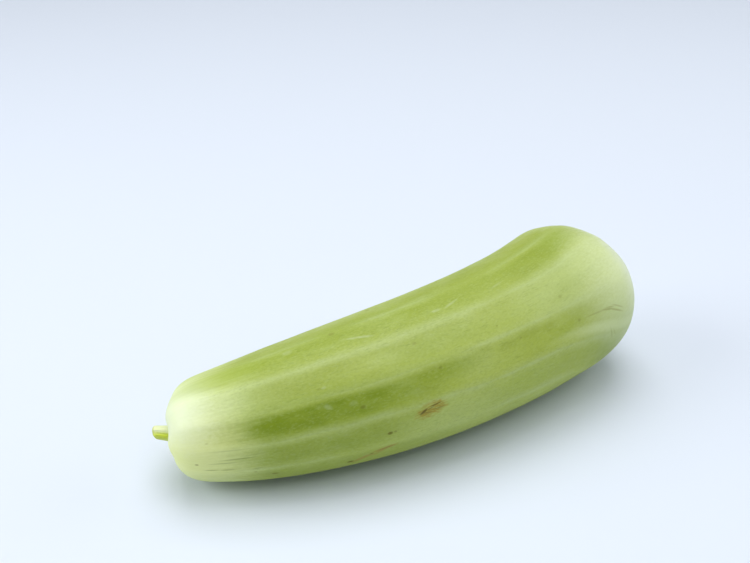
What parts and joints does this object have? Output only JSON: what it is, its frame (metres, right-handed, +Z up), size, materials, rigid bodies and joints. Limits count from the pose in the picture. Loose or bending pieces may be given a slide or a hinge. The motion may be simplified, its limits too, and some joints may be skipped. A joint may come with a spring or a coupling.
{
  "type": "oriental pickling melon",
  "caption": "Long curved pale green melon with low rounded ribs and a short cut stem stub, lying on its side.",
  "frame": {"origin": "on the ground, under the middle of the overall box", "axes": "+X from the stem end to the blossom end, +Y towards the inside of the bend, +Z up as the melon lies"},
  "size_m": [0.237, 0.08, 0.0728],
  "materials": {
    "melon_skin": "pale green waxy fruit skin, satin",
    "cut_stalk": "yellow-green fibrous stalk, matte"
  },
  "bodies": {
    "root": {"fruit": "melon_skin", "stem": "cut_stalk"}
  },
  "joints": []
}
